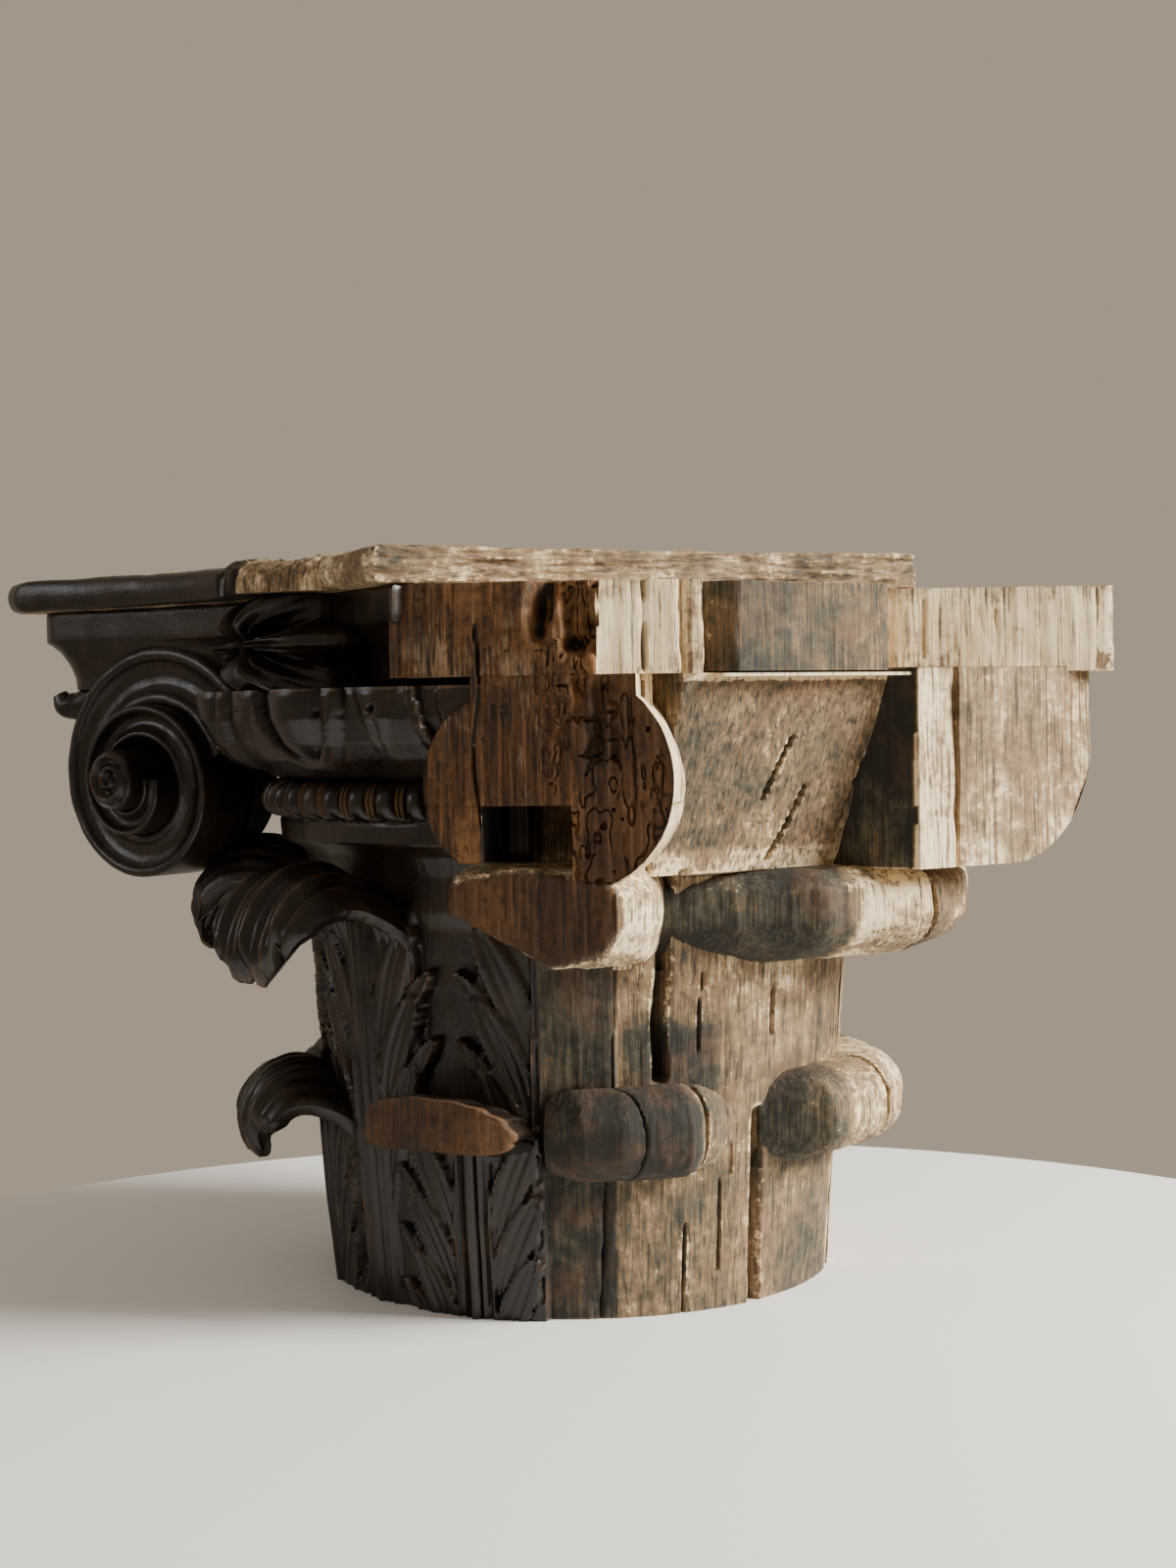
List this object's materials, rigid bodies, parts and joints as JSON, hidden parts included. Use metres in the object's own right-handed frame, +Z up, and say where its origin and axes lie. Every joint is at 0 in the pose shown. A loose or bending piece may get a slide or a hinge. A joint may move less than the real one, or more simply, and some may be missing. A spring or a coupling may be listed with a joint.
{
  "type": "composite capital, half carved",
  "caption": "Old wooden column capital of the composite order, carved on two faces and only blocked out on the other two, with two sawn-off corners and a thin board on top",
  "frame": {"origin": "centre of the flat underside of the foot, on the axis of the turned bell", "axes": "+Z up along the bell's axis, square to the board's flat top; -X carved face, -Y blocked-out face, so the near sawn corner lies between -X and -Y"},
  "size_m": [0.4174, 0.4174, 0.354],
  "materials": {
    "waxed_carving": "near-black brown carved wood with an old waxed gloss, worn to orange brown on its edges; sawn flats are bare orange brown",
    "weathered_blank": "grey-brown and greenish bare wood with vertical grain, scraped cream and dusty patches, matt",
    "tan_blank": "tan bare wood with visible growth rings, scraped pale patches, matt",
    "sawn_board": "sawn tan board with broken fibres along its edge, dark waxed on the carved side"
  },
  "bodies": {
    "root": {"carved_block": "waxed_carving", "middle_block": "weathered_blank", "outer_block": "tan_blank", "top_board": "sawn_board"}
  },
  "joints": []
}
